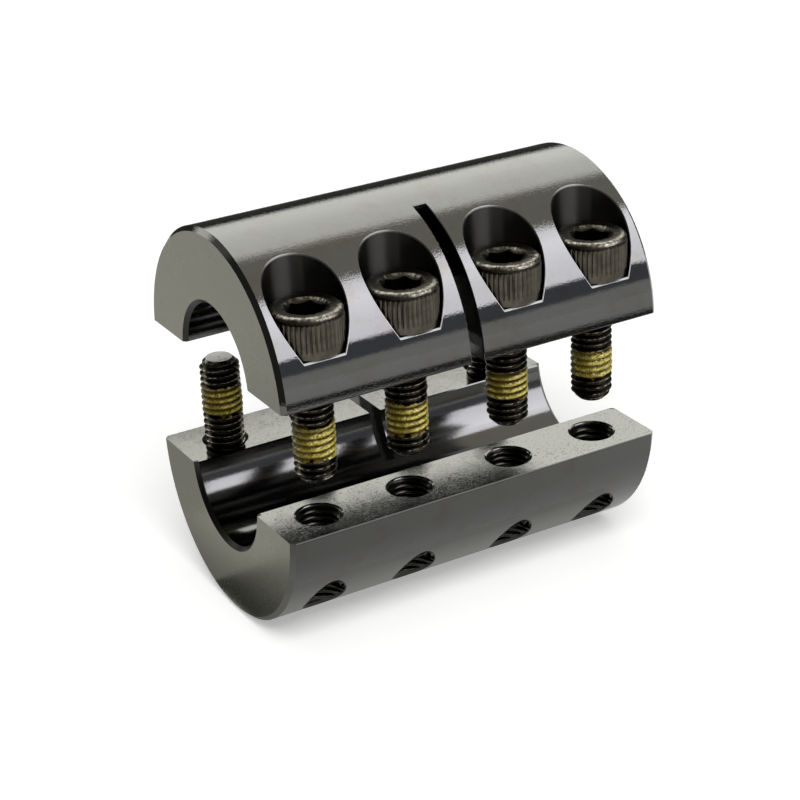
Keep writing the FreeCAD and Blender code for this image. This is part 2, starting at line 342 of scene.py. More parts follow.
def new_group(name, vectors, values, masks):
    """A group that turns vectors and values into masks; gives its tree, its inputs and its outputs."""
    tree = bpy.data.node_groups.new(name, "ShaderNodeTree")
    sides = ((vectors, "INPUT", "Vector"), (values, "INPUT", "Float"), (masks, "OUTPUT", "Float"))
    for names, side, kind in sides:
        for socket in names:
            tree.interface.new_socket(socket, in_out=side, socket_type="NodeSocket" + kind)
    return tree, tree.nodes.new("NodeGroupInput").outputs, tree.nodes.new("NodeGroupOutput").inputs


def place_group(tree, group, **values):
    """Puts a group into a material and fills its inputs; gives its outputs."""
    node = add_node(tree, "Group", node_tree=group)
    plug_all(tree, node.inputs, values)
    return node.outputs


def empty_material(name):
    """A material with nothing in it; gives the material, its tree and the input for its surface."""
    material = bpy.data.materials.new(name)
    material.use_nodes = True
    tree = material.node_tree
    tree.nodes.clear()
    return material, tree, add_node(tree, "OutputMaterial").inputs["Surface"]


def shiny_material(name):
    """A material with one Principled shader; gives the material, its tree and the shader's inputs."""
    material, tree, surface = empty_material(name)
    shader = add_node(tree, "BsdfPrincipled")
    plug(tree, shader.outputs["BSDF"], surface)
    return material, tree, shader.inputs


def piece_position(tree):
    """The shaded point in its own piece: its place, the place's three numbers and its axis distance."""
    place = add_node(tree, "TexCoord").outputs["Object"]
    x, y, z = split_vector(tree, place)
    return place, x, y, z, length_of(tree, x, y)


# Shared surface effects

def hole_reach(tree, x, y, row):
    """Distance from the nearest hole axis of the row at this y."""
    along = size_of(tree, x)
    beside = calculate(tree, "MINIMUM", *(size_of(tree, difference(tree, along, screw))
                                          for screw in (NEAR_SCREW, FAR_SCREW)))
    return length_of(tree, beside, difference(tree, y, row))


def make_zones_group():
    """Masks for the faces of a half, whose place is counted from its bore axis with counterbores at -Y.

    Mouths are the rims of the counterbores, and the lip mask is their lower part, where a highlight is
    painted.
    The chamfer mask covers the chamfers at the bore's ends and along the outer edges of the split faces,
    which are painted dark as shade.
    """
    tree, given, result = new_group("half_zones", ("Position", "Direction"), (),
                                    ("Ends", "Split", "Bore", "Holes", "Mouths", "Lip_highlight", "Shaded_chamfers"))
    x, y, z = split_vector(tree, given["Position"])
    along, _, upright = split_vector(tree, given["Direction"])
    reach = length_of(tree, y, z)
    from_middle = size_of(tree, x)
    faces_end = fade(tree, size_of(tree, along), 0.80, 0.97)
    faces_split = fade(tree, size_of(tree, upright), 0.97, 0.995)

    front = hole_reach(tree, x, y, -ROW_OFFSET)
    rear = hole_reach(tree, x, y, ROW_OFFSET)
    counterbore = product(tree, fade_at(tree, front, COUNTERBORE_RADIUS, 0.08, 0.04),
                          fade_at(tree, z, SEAT_HEIGHT, -0.06, -0.02))
    clearance = fade_at(tree, front, CLEARANCE_RADIUS, 0.10, 0.05)
    tapped = fade_at(tree, rear, TAPPED_RADIUS, 0.08, 0.03)

    mouths = product(tree, fade_at(tree, front, COUNTERBORE_RADIUS, 0.15, 0.10),
                     fade_at(tree, reach, BODY_RADIUS, -0.20, -0.15),
                     fade_at(tree, z, SEAT_HEIGHT, -0.20, -0.14))
    # The pale highlight painted on the mouths is strongest near the height of the seats
    lower_part = remap(tree, fade_at(tree, z, SEAT_HEIGHT, 0.4, 3.5), 0.9, 0.08)

    # Painted shade: the chamfers at the bore's ends and along the split faces' outer edges are darkened
    end_rim = product(tree, difference(tree, 1.0, faces_end),
                      fade_at(tree, from_middle, HALF_LENGTH, -0.60, -0.48),
                      fade_at(tree, reach, BORE_RADIUS, 0.62, 0.54))
    split_edge = product(tree, difference(tree, 1.0, faces_split),
                         fade_at(tree, z, SPLIT_HEIGHT, 0.20, 0.14),
                         fade_at(tree, reach, BODY_RADIUS, -0.20, -0.14))
    plug_all(tree, result, {
        "Ends": product(tree, faces_end, fade_at(tree, from_middle, HALF_LENGTH, -0.3, -0.1)),
        "Split": product(tree, faces_split, fade_at(tree, z, SPLIT_HEIGHT, 0.2, 0.1)),
        "Bore": fade_at(tree, reach, BORE_RADIUS, 0.3, 0.1),
        "Holes": largest(tree, counterbore, clearance, tapped),
        "Mouths": mouths,
        "Lip_highlight": product(tree, mouths, lower_part),
        "Shaded_chamfers": largest(tree, end_rim, split_edge),
    })
    return tree


def make_skin_group():
    """Low waves and small flakes of an oxide skin, drawn out along the turned length."""
    tree, given, result = new_group("oxide_skin", ("Position",), ("Stretch",),
                                    ("Height", "Mottle", "Specks"))
    x, y, z = split_vector(tree, given["Position"])
    drawn = join_vector(tree, calculate(tree, "DIVIDE", x, given["Stretch"]), y, z)
    waves = noise_value(tree, drawn, 0.38, detail=1.0, roughness=0.5)
    flakes = noise_value(tree, given["Position"], 0.16, detail=1.0)
    specks = noise_value(tree, given["Position"], 0.30, roughness=0.7)
    plug_all(tree, result, {
        "Height": calculate(tree, "ADD", product(tree, waves, 0.25), product(tree, flakes, 0.75)),
        "Mottle": noise_value(tree, given["Position"], 3.0, detail=3.0),
        "Specks": fade(tree, specks, 0.66, 0.74),
    })
    return tree


def make_grain_group():
    """Fine grain of a sawn or faced surface, with a mask of pits and one of wider worn patches.

    Density, from zero to one, says how thickly the pits lie.
    """
    tree, given, result = new_group("cut_grain", ("Position",), ("Density",), ("Height", "Pits", "Patches"))
    pits = calculate(tree, "ADD", noise_value(tree, given["Position"], 0.24, roughness=0.7),
                     remap(tree, given["Density"], -0.03, 0.13))
    patches = noise_value(tree, given["Position"], 2.6, detail=3.0)
    plug_all(tree, result, {
        "Height": noise_value(tree, given["Position"], 0.13, detail=1.0),
        "Pits": fade(tree, pits, 0.595, 0.625),
        "Patches": fade(tree, patches, 0.40, 0.62),
    })
    return tree


def make_oil_group():
    """Brown oil film, and bright ragged marks that are partly wear and partly painted highlight, as masks for
    the screws and the cut threads.
    """
    tree, given, result = new_group("oil_and_wear", ("Position",), ("Edge",), ("Film", "Wear_and_highlight", "Height"))
    film = noise_value(tree, given["Position"], 1.4, detail=3.0)
    ragged = noise_value(tree, given["Position"], 0.45, detail=3.0, roughness=0.7)
    plug_all(tree, result, {
        "Film": fade(tree, film, 0.35, 0.65),
        "Wear_and_highlight": product(tree, given["Edge"], fade(tree, ragged, 0.44, 0.60)),
        "Height": noise_value(tree, given["Position"], 0.16),
    })
    return tree


ZONES = make_zones_group()
SKIN = make_skin_group()
GRAIN = make_grain_group()
OIL = make_oil_group()

# Materials

OXIDE = colour(104, 104, 103)
OXIDE_BROWN = colour(101, 99, 95)
OXIDE_SATIN = colour(126, 125, 112)
OXIDE_SAWN = colour(117, 117, 113)
# Near black for pits and specks, also used as painted shade on chamfers and in the roots of cut threads
OXIDE_PIT_AND_SHADE = colour(36, 35, 32)
# Oxide in the holes: duller, and darker as painted shade
HOLE_OXIDE_AND_SHADE = colour(68, 67, 64)
# Bright steel for ragged wear, also used as painted highlight on the thread crests
WEAR_AND_HIGHLIGHT_STEEL = colour(170, 167, 158)
# Pale paint for the highlight on the counterbores' lower lips
LIP_HIGHLIGHT_WHITE = colour(206, 206, 206)
HEAD_BROWN = colour(104, 99, 88)
HEAD_OILED = colour(84, 80, 71)
# Painted shade on the head's flat top
HEAD_TOP_SHADE = colour(62, 58, 51)
# Painted shade in the knurl's grooves
KNURL_GROOVE_SHADE = colour(66, 62, 54)
THREAD_BROWN = colour(84, 78, 60)
THREAD_OILED = colour(50, 46, 38)
# Painted shade in the socket, the thread grooves and the neck
PAINTED_SHADE_BLACK = colour(34, 31, 26)
# A lighter grey for the tip's face
TIP_FACE_GREY = colour(146, 145, 142)
TAPPED_GREY = colour(72, 71, 65)
TAPPED_OILED = colour(54, 53, 48)
# Brown in the nylon's grooves, as painted shade
NYLON_GROOVE_SHADE = colour(66, 46, 4)
NYLON_YELLOW = colour(214, 196, 60)
# Painted glints on the nylon
NYLON_PAINTED_GLINT = colour(250, 246, 176)
NYLON_THIN = colour(62, 50, 10)
NYLON_CRUMB = colour(74, 58, 14)
NYLON_IOR = 1.53

# Full depth of each finish's relief
SKIN_DEPTH = 16e-6
GRAIN_DEPTH = 7e-6
SCREW_DEPTH = 12e-6
TAPPED_DEPTH = 8e-6
NYLON_DEPTH = 45e-6

# How far the finish of the lower half's front ledge mirrors to the rear, as the slope of its normal
FRONT_LEDGE_LEAN = 0.0195


def make_half_material(name, axis_height, turned_over):
    """Black oxide steel: glossy outside and in the bore, satin ends, grained split faces, and holes that are
    duller and darkened with painted shade; painted shade on the chamfers and a painted highlight on the lips.
    """
    material, tree, shader = shiny_material(name)
    coordinates = add_node(tree, "TexCoord").outputs
    place = vector_calculate(tree, "SUBTRACT", coordinates["Object"], (0, 0, axis_height))
    if turned_over:
        place = vector_calculate(tree, "MULTIPLY", place, (1, -1, -1))
    x, y, z = split_vector(tree, place)
    zones = place_group(tree, ZONES, Position=place, Direction=coordinates["Normal"])
    skin = place_group(tree, SKIN, Position=place, Stretch=1.5)
    # Pits lie thicker towards the outer edge of the tapped side and towards its near end
    near_edge = fade_at(tree, y, 0, 10.0, 15.5)
    near_end = remap(tree, fade_at(tree, x, 0, 14.0, -8.0), 0.15, 1.0)
    grain = place_group(tree, GRAIN, Position=place, Density=product(tree, near_edge, near_end))
    pit_share = remap(tree, grain["Patches"], 0.65, 1.0)
    pits = product(tree, grain["Pits"], zones["Split"], pit_share)

    tone = paint(tree, OXIDE,
                 (fade(tree, skin["Mottle"], 0.45, 0.75), OXIDE_BROWN),
                 (product(tree, skin["Specks"], 0.35), OXIDE_PIT_AND_SHADE),
                 (zones["Ends"], OXIDE_SATIN),
                 (zones["Split"], OXIDE_SAWN),
                 (pits, OXIDE_PIT_AND_SHADE),
                 # painted shade: the chamfers are darkened
                 (product(tree, zones["Shaded_chamfers"], 0.8), OXIDE_PIT_AND_SHADE),
                 # the holes: a duller oxide, darkened further as painted shade in the recesses
                 (zones["Holes"], HOLE_OXIDE_AND_SHADE),
                 # painted highlight: the counterbores' lower lips are painted pale
                 (zones["Lip_highlight"], LIP_HIGHLIGHT_WHITE))
    rough = cover(tree, remap(tree, skin["Mottle"], 0.035, 0.060),
                  (zones["Bore"], 0.11),
                  (zones["Ends"], remap(tree, skin["Mottle"], 0.24, 0.32)),
                  (zones["Split"], cover(tree, remap(tree, grain["Patches"], 0.075, 0.055), (pits, 0.12))),
                  (zones["Shaded_chamfers"], 0.30),
                  (zones["Holes"], 0.37),
                  (zones["Mouths"], 0.35))

    # The counterbores' walls are drawn out upright, as the cutter leaves them
    _, _, facing_up = split_vector(tree, coordinates["Normal"])
    bored_wall = difference(tree, 1.0, size_of(tree, facing_up))
    in_counterbore = fade_at(tree, hole_reach(tree, x, y, -ROW_OFFSET), COUNTERBORE_RADIUS, 0.10, 0.05)

    # The skin is calmer on cut faces, in the bore and on the skirt beside the counterbores' lower parts
    skirt = fade_at(tree, z, 0, 10.0, 7.0)
    quiet = largest(tree, zones["Ends"], zones["Split"], product(tree, zones["Bore"], 0.75), zones["Holes"],
                    product(tree, skirt, 0.72))
    skin_height = product(tree, skin["Height"], remap(tree, quiet, 1.0, 0.10))
    grain_share = largest(tree, product(tree, zones["Ends"], 0.03),
                          product(tree, zones["Split"], remap(tree, grain["Patches"], 0.6, 1.0)))
    normal = add_bump(tree, skin_height, SKIN_DEPTH)
    normal = add_bump(tree, product(tree, grain["Height"], grain_share), GRAIN_DEPTH, normal)
    if turned_over:
        lean = product(tree, zones["Split"], fade_at(tree, y, 0, 7.0, 8.0), FRONT_LEDGE_LEAN)
        normal = vector_calculate(tree, "ADD", normal, join_vector(tree, 0.0, lean, 0.0))
        normal = vector_calculate(tree, "NORMALIZE", normal)
    plug_all(tree, shader, {
        "Base Color": tone,
        # The painted lip highlight is mostly not metal, so it shows pale
        "Metallic": remap(tree, zones["Lip_highlight"], 1.0, 0.25),
        "Roughness": rough,
        "Anisotropic": product(tree, in_counterbore, bored_wall),
        "Tangent": join_vector(tree, 0.0, 0.0, 1.0),
        "Normal": normal,
    })
    return material


def make_screw_material():
    """Oiled black oxide on a screw: brown on the head, darker in the thread, knurl, socket and neck and on
    the flat top as painted shade, bright on the rim and thread crests as wear and painted highlight.
    """
    material, tree, shader = shiny_material("screw_black_oxide")
    place, _, _, z, reach = piece_position(tree)
    head = fade_at(tree, z, 0, -0.2, 0.1)
    shank = remap(tree, head, 1.0, 0.0)

    # Bright ragged marks on the rim, the socket's mouth and the thread crests: partly wear, partly painted
    # highlight
    rim = product(tree, fade_at(tree, z, HEAD_HEIGHT, -0.34, -0.16), fade_at(tree, reach, 0, 3.42, 3.60))
    mouth = product(tree, fade_at(tree, z, HEAD_HEIGHT, -0.35, -0.15), fade_at(tree, reach, 0, 2.80, 2.68))
    above_tip = calculate(tree, "ADD", z, SCREW_LENGTH + TIP_RADIUS)
    on_cone = fade_at(tree, difference(tree, reach, above_tip), 0, -0.10, -0.03)
    crest = product(tree, largest(tree, fade_at(tree, reach, 0, 2.34, 2.44), on_cone), shank)
    edge = largest(tree, product(tree, rim, 0.6), product(tree, mouth, 0.5), crest)
    oil = place_group(tree, OIL, Position=place, Edge=edge)

    # Painted shade darkens the knurl's grooves, the flat top, the socket's inside, the thread grooves and the
    # neck
    knurl_groove = product(tree, head, fade_at(tree, z, HEAD_HEIGHT, -0.80, -1.00),
                           fade_at(tree, reach, HEAD_RADIUS, -0.02, -0.11))
    top_face = product(tree, fade_at(tree, z, HEAD_HEIGHT, -0.12, -0.06),
                       fade_at(tree, reach, 0, 3.62, 3.45))
    neck = product(tree, fade_at(tree, z, HEAD_HEIGHT, -0.88, -0.78),
                   fade_at(tree, z, HEAD_HEIGHT, -0.44, -0.54))
    inside = product(tree, fade_at(tree, reach, SOCKET_MOUTH, 0.02, -0.12), head)
    thread_groove = product(tree, fade_at(tree, reach, 0, 2.40, 2.16), shank)
    dark = largest(tree, inside, thread_groove, neck)
    tip = fade_at(tree, z, -SCREW_LENGTH, 0.06, 0.03)

    tone = paint(tree, paint(tree, THREAD_BROWN, (oil["Film"], THREAD_OILED)),
                 (head, paint(tree, HEAD_BROWN, (oil["Film"], HEAD_OILED))),
                 # painted shade in the knurl's grooves
                 (product(tree, knurl_groove, 0.5), KNURL_GROOVE_SHADE),
                 # painted shade on the flat top
                 (product(tree, top_face, 0.7), HEAD_TOP_SHADE),
                 # painted shade in the socket, the thread grooves and the neck
                 (product(tree, dark, 0.85), PAINTED_SHADE_BLACK),
                 # the tip's face in a lighter grey
                 (tip, TIP_FACE_GREY),
                 # wear, and painted highlight on the thread crests
                 (oil["Wear_and_highlight"], WEAR_AND_HIGHLIGHT_STEEL))
    plug_all(tree, shader, {
        "Base Color": tone,
        "Metallic": 1.0,
        "Roughness": cover(tree, 0.20, (head, 0.32), (tip, 0.40), (oil["Wear_and_highlight"], 0.26)),
        "Normal": add_bump(tree, oil["Height"], SCREW_DEPTH),
    })
    return material


def make_nylon_material():
    """Sprayed yellow nylon: brown in the grooves as painted shade, pale on the crests, thin on one side,
    with painted glints.
    """
    material, tree, shader = shiny_material("yellow_nylon")
    place, x, _, z, reach = piece_position(tree)
    patchy = noise_value(tree, place, 0.90)
    lumps = noise_value(tree, place, 0.16, detail=1.0)
    lift = product(tree, difference(tree, lumps, 0.5), 0.26 * MM)
    # The crests take the yellow, and the grooves keep the brown as painted shade
    crest = fade_at(tree, calculate(tree, "ADD", reach, lift), 0, 2.23, 2.46)
    # Painted glints on lumps of the crests
    glint = product(tree, fade(tree, lumps, 0.50, 0.62), crest,
                    remap(tree, fade(tree, patchy, 0.40, 0.60), 0.3, 1.0))

    one_side = fade_at(tree, x, 0, 1.2, -2.2)
    from_middle = size_of(tree, difference(tree, z, (PATCH_FOOT + PATCH_TOP) / 2))
    near_ends = product(tree, fade_at(tree, from_middle, 0, 0.9, 2.3), 0.5)
    thin = calculate(tree, "ADD", one_side, near_ends, product(tree, difference(tree, 0.5, patchy), 2.5))
    crumbs = fade(tree, noise_value(tree, place, 0.22), 0.50, 0.42)
    tone = paint(tree, NYLON_GROOVE_SHADE,
                 (crest, NYLON_YELLOW),
                 (glint, NYLON_PAINTED_GLINT),
                 (remap(tree, fade(tree, thin, 0.1, 1.2), 0.0, 0.8), NYLON_THIN),
                 (product(tree, crumbs, 0.7), NYLON_CRUMB))
    plug_all(tree, shader, {
        "Base Color": tone,
        "Roughness": remap(tree, lumps, 0.38, 0.08),
        "Specular IOR Level": remap(tree, crest, 0.04, 0.5),
        "IOR": NYLON_IOR,
        "Normal": add_bump(tree, lumps, NYLON_DEPTH),
    })
    return material


def make_tapped_material():
    """Oiled oxide in the cut threads, their roots darkened as painted shade and their ridges brighter."""
    material, tree, shader = shiny_material("tapped_black_oxide")
    place, _, _, _, reach = piece_position(tree)
    oil = place_group(tree, OIL, Position=place, Edge=0.0)
    ridge_tone = paint(tree, TAPPED_GREY, (oil["Film"], TAPPED_OILED))
    plug_all(tree, shader, {
        # Painted shade: the thread's roots are near black and its ridges keep the oiled grey
        "Base Color": paint(tree, OXIDE_PIT_AND_SHADE, (fade_at(tree, reach, 0, 2.42, 2.24), ridge_tone)),
        "Metallic": 1.0,
        "Roughness": remap(tree, oil["Film"], 0.14, 0.24),
        "Normal": add_bump(tree, oil["Height"], TAPPED_DEPTH),
    })
    return material


# Meshes

def polar(radius, angle):
    """The point at this radius and angle about the axis."""
    return radius * math.cos(angle), radius * math.sin(angle)


def angle_of(vertex):
    """Angle of a vertex about the axis, from zero to a full turn."""
    return math.atan2(vertex.co.y, vertex.co.x) % FULL_TURN


def smooth_step(value, start, end):
    """Zero at start, one at end and smooth between them, for numbers or arrays."""
    share = np.clip((value - start) / (end - start), 0, 1)
    return share * share * (3 - 2 * share)


def wobble(x, y, z, size, seed):
    """Smooth noise of about minus one to one, with lumps of this many millimetres."""
    size = size * MM
    return noise.noise(Vector((x / size + 17.3 * seed, y / size - 9.1 * seed, z / size + 5.7 * seed)))


def helix_grid(profile, low, high, phase, points):
    """Angles, heights and radii of a grid over a right-hand thread that reaches past both heights.

    Each row runs once round the thread and ends one pitch higher.
    """
    base = math.floor((low - phase) / PITCH - 1) * PITCH + phase
    turns = math.ceil((high - base) / PITCH) + 3
    angles = np.arange(points) * FULL_TURN / points
    shares = np.array([turn + share for turn in range(turns) for share in THREAD_SHARES])
    heights = base + shares[:, None] * PITCH + PITCH * angles[None, :] / FULL_TURN
    radii = np.tile(np.array(profile), turns)[:, None] * np.ones((1, points))
    return angles, heights, radii


def add_grid(mesh, angles, heights, radii):
    """Adds a helical grid to a mesh. Its last column joins the first one a turn higher."""
    rows, points = heights.shape
    vertices = [[mesh.verts.new((*polar(radii[row, column], angles[column]), heights[row, column]))
                 for column in range(points)] for row in range(rows)]
    for row in range(rows - 1):
        for column in range(points):
            following = (column + 1) % points
            step = len(THREAD_SHARES) if following == 0 else 0
            if row + 1 + step < rows:
                mesh.faces.new((vertices[row][column], vertices[row + step][following],
                                vertices[row + 1 + step][following], vertices[row + 1][column]))


def tidy_mesh(mesh, gap=1e-6):
    """Merges what lies together and drops faces and vertices that are left with no size."""
    bmesh.ops.remove_doubles(mesh, verts=mesh.verts, dist=gap)
    bmesh.ops.dissolve_degenerate(mesh, edges=mesh.edges, dist=gap)
    loose = [vertex for vertex in mesh.verts if not vertex.link_faces]
    bmesh.ops.delete(mesh, geom=loose, context="VERTS")


def open_edge_vertices(mesh):
    """All vertices on the open edges of a mesh."""
    return {vertex for edge in mesh.edges if len(edge.link_faces) == 1 for vertex in edge.verts}


def rim_of(mesh, height, reach_limit=1.0, gap=2e-6):
    """Open edge vertices at this height, in order of their angle."""
    found = [vertex for vertex in open_edge_vertices(mesh)
             if abs(vertex.co.z - height) < gap and vertex.co.xy.length < reach_limit]
    return sorted(found, key=angle_of)


def open_rims(mesh):
    """The two open rims of a cut thread, lower one first, each in order of its angle."""
    bottom, top = {}, {}
    edge_points = open_edge_vertices(mesh)
    middle = sum(vertex.co.z for vertex in edge_points) / len(edge_points)
    for vertex in edge_points:
        side = bottom if vertex.co.z < middle else top
        side[round(angle_of(vertex) / FULL_TURN * TAPPED_POINTS) % TAPPED_POINTS] = vertex
    return [[side[step] for step in range(TAPPED_POINTS)] for side in (bottom, top)]


def add_ring(mesh, outline):
    """A ring of vertices at these points."""
    return [mesh.verts.new(point) for point in outline]


def join_rings(mesh, *rings):
    """Quads between each ring and the next, all with as many vertices."""
    for lower, upper in zip(rings, rings[1:]):
        for index, vertex in enumerate(lower):
            following = (index + 1) % len(lower)
            mesh.faces.new((vertex, lower[following], upper[following], upper[index]))


def close_ring(mesh, ring, height):
    """Triangles from a ring to a point on the axis."""
    centre = mesh.verts.new((0, 0, height))
    for index, vertex in enumerate(ring):
        mesh.faces.new((vertex, ring[(index + 1) % len(ring)], centre))


def add_mesh_object(mesh, name, material):
    """Turns a built mesh into an object with one material."""
    data = bpy.data.meshes.new(name)
    mesh.to_mesh(data)
    mesh.free()
    data.materials.append(material)
    return add_object(name, data)


def finish_piece(mesh, name, material, sharp_angle=32.0):
    """Turns a built mesh into a piece, smooth apart from its sharp edges."""
    bmesh.ops.recalc_face_normals(mesh, faces=mesh.faces)
    for face in mesh.faces:
        face.smooth = True
    for edge in mesh.edges:
        edge.smooth = edge.calc_face_angle(0.0) < math.radians(sharp_angle)
    return add_mesh_object(mesh, name, material)


def hex_radius(angle):
    """Distance from the axis to the wall of the hexagon socket."""
    sixth = FULL_TURN / 6
    return HEX_APOTHEM / math.cos((angle + sixth / 2) % sixth - sixth / 2)


def knurl_cut(angle, seed):
    """How deep the knurl cuts into the head at this angle."""
    share = (angle / FULL_TURN * KNURLS) % 1
    groove = max(0.0, 1 - abs(share - 0.5) / KNURL_HALF_WIDTH)
    depth = KNURL_DEPTH * min(1.0, 1.5 * groove)
    return depth * (1 + 0.35 * wobble(math.cos(angle), math.sin(angle), 0, 200, seed))


def head_point(angle, row, seed):
    """A point of the knurled head at this angle, on one of the rows of the head."""
    height, inset, knurl, unevenness = row
    height, radius = height * MM, HEAD_RADIUS - inset * MM
    x, y = polar(radius, angle)
    outward = wobble(x, y, height, 0.5, seed) + 0.5 * wobble(x, y, height, 0.22, seed)
    upward = wobble(y, x, height, 0.55, seed + 3) + 0.5 * wobble(y, x, height, 0.25, seed + 3)
    radius += unevenness * HEAD_UNEVEN_OUTWARD * outward - knurl * knurl_cut(angle, seed)
    return *polar(radius, angle), min(height + unevenness * HEAD_UNEVEN_UPWARD * upward, HEAD_HEIGHT)


def socket_point(angle, share):
    """A point of the hexagon socket's wall, this share of the way down from its slanted lip."""
    lip = HEAD_HEIGHT - SOCKET_LIP_DEPTH - SOCKET_LIP_SLOPE * (SOCKET_MOUTH - hex_radius(angle))
    return *polar(hex_radius(angle), angle), lip + share * (HEAD_HEIGHT - HEX_DEPTH - lip)


def add_head(mesh, seed):
    """The knurled head with its hexagon socket; gives the ring at its foot."""
    angles = [FULL_TURN * index / HEAD_POINTS for index in range(HEAD_POINTS)]
    floor_height = HEAD_HEIGHT - HEX_DEPTH - 0.05 * MM
    outlines = [[(*polar(HEAD_FOOT_RADIUS, angle), 0.0) for angle in angles]]
    outlines += [[head_point(angle, row, seed) for angle in angles] for row in HEAD_ROWS]
    outlines += [[socket_point(angle, share) for angle in angles] for share in (0.0, 0.35, 0.7, 1.0)]
    outlines += [[(*polar(SOCKET_FLOOR_RADIUS, angle), floor_height) for angle in angles]]
    rings = [add_ring(mesh, outline) for outline in outlines]
    join_rings(mesh, *rings)
    close_ring(mesh, rings[-1], HEAD_HEIGHT - HEX_DEPTH - DRILL_POINT_DEPTH)
    return rings[0]


def add_shank(mesh, seed):
    """The rolled thread down to the chamfered tip; gives the ring at the seat."""
    low, high = -SCREW_LENGTH, 0.0
    angles, heights, radii = helix_grid(SCREW_THREAD, low, high, 0.0, THREAD_POINTS)
    heights = np.clip(heights, low, high)
    radii = NECK_RADIUS + (radii - NECK_RADIUS) * smooth_step(heights, RUNOUT_START, RUNOUT_END)
    lumps = np.array([[wobble(*polar(3 * MM, angle), height, 0.7, seed)
                       for angle, height in zip(angles, row)] for row in heights])
    inside = smooth_step(heights, low, low + 0.3 * MM) * smooth_step(heights, high, high - 0.5 * MM)
    radii = np.minimum(radii + THREAD_UNEVEN * lumps * inside, TIP_RADIUS + (heights - low))
    add_grid(mesh, angles, heights, radii)
    tidy_mesh(mesh)

    last = rim_of(mesh, low)
    turns = [angle_of(vertex) for vertex in last]
    for radius, rise in TIP_RINGS:
        places = [polar(radius, turn) for turn in turns]
        ring = add_ring(mesh, [(x, y, low + max(rise + THREAD_UNEVEN * wobble(x, y, 0, 0.6, seed), 0.0))
                               for x, y in places])
        join_rings(mesh, ring, last)
        last = ring
    close_ring(mesh, last[::-1], low + TIP_RISE)
    return rim_of(mesh, high, 3 * MM)


def make_screw(name, material):
    """A socket head screw, built head up about its own axis."""
    seed = SCREW_STYLES[name].seed
    mesh = bmesh.new()
    seat = add_shank(mesh, seed)
    foot = add_head(mesh, seed)
    if len(seat) != THREAD_POINTS:
        raise RuntimeError(f"{name} has {len(seat)} points at its seat")
    share = HEAD_POINTS // THREAD_POINTS
    for index in range(THREAD_POINTS):
        outer = [foot[(index * share + step) % HEAD_POINTS] for step in range(share + 1)]
        mesh.faces.new([seat[(index + 1) % THREAD_POINTS], seat[index], *outer])
    return finish_piece(mesh, name + "_knurled", material)


def nylon_coat(angle, height, radius, foot, top, style):
    """How thick the nylon lies over one point of the thread; less than nothing past its ragged ends."""
    x, y = polar(2.4 * MM, angle)
    ragged = (NYLON_RAGGED_WIDE * wobble(x, y, 0, 0.9, style.seed)
              + NYLON_RAGGED_FINE * wobble(x, y, 3, 0.35, style.seed))
    inside = min(height - (foot + ragged), (top - ragged * 0.8) - height) / NYLON_THIN_EDGE
    share = max(-1.0, min(1.0, inside))
    lump = wobble(x, y, height, 0.45, style.seed) + 0.6 * wobble(x, y, height, 0.18, style.seed)
    groove = style.fill * (SCREW_CREST - radius)
    return share * (NYLON_COAT + groove) + max(0.0, share) * NYLON_LUMPS * lump


def make_patch(name, screw_name, material):
    """Nylon sprayed over the thread: thin on the crests, thicker in the grooves, ragged at both ends."""
    style = SCREW_STYLES[screw_name]
    foot, top = PATCH_FOOT + style.foot, PATCH_TOP + style.top
    low, high = foot - NYLON_MARGIN, top + NYLON_MARGIN
    angles, heights, radii = helix_grid(SCREW_THREAD, low, high, 0.0, THREAD_POINTS)
    heights = np.clip(heights, low, high)
    coat = np.array([[nylon_coat(angle, height, radius, foot, top, style)
                      for angle, height, radius in zip(angles, *rows)] for rows in zip(heights, radii)])
    radii = np.minimum(np.where(coat > 0, radii + coat, radii - NYLON_BURIED), NYLON_LARGEST)
    radii = np.where((heights <= low) | (heights >= high), NYLON_END_RADIUS, radii)
    mesh = bmesh.new()
    add_grid(mesh, angles, heights, radii)
    tidy_mesh(mesh)
    join_rings(mesh, rim_of(mesh, high), rim_of(mesh, low))
    return finish_piece(mesh, name + "_nylon", material, sharp_angle=60)


def make_tapped_thread(name, phase, material):
    """The cut thread of one tapped hole about its own axis, from the split face out to the turned outside.

    Heights count from the bore axis, the outside lies towards +Z and +Y, and the wall hides the closed back.
    """
    mouth = SPLIT_HEIGHT + 0.22 * MM
    angles, heights, radii = helix_grid(TAPPED_THREAD, mouth, BODY_RADIUS, phase, TAPPED_POINTS)
    heights = np.maximum(heights, mouth)
    radii = TAPPED_END + (radii - TAPPED_END) * smooth_step(heights, mouth, mouth + 0.40 * MM)
    outside = np.sqrt(BODY_RADIUS**2 - (ROW_OFFSET + radii * np.sin(angles)) ** 2) - 0.02 * MM
    end = np.sqrt(BODY_RADIUS**2 - (ROW_OFFSET + TAPPED_END * np.sin(angles)) ** 2) - 0.04 * MM
    radii = TAPPED_END + (radii - TAPPED_END) * smooth_step(outside - heights, 0.05 * MM, 0.65 * MM)
    past = np.maximum.accumulate(heights >= outside, axis=0)
    heights = np.where(past, end, heights)
    radii = np.where(past, TAPPED_END, radii)
    mesh = bmesh.new()
    add_grid(mesh, angles, heights, radii)
    tidy_mesh(mesh)
    low_rim, high_rim = open_rims(mesh)
    back_low = add_ring(mesh, [(*polar(TAPPED_BACK, angle), mouth) for angle in angles])
    back_high = add_ring(mesh, [(*polar(TAPPED_BACK, angle), height) for angle, height in zip(angles, end)])
    join_rings(mesh, low_rim, back_low, back_high, high_rim)
    return finish_piece(mesh, name, material)


def middle_of(box):
    """The middle of a box, seen from above."""
    low, high = box
    return (low.x + high.x) / 2, (low.y + high.y) / 2


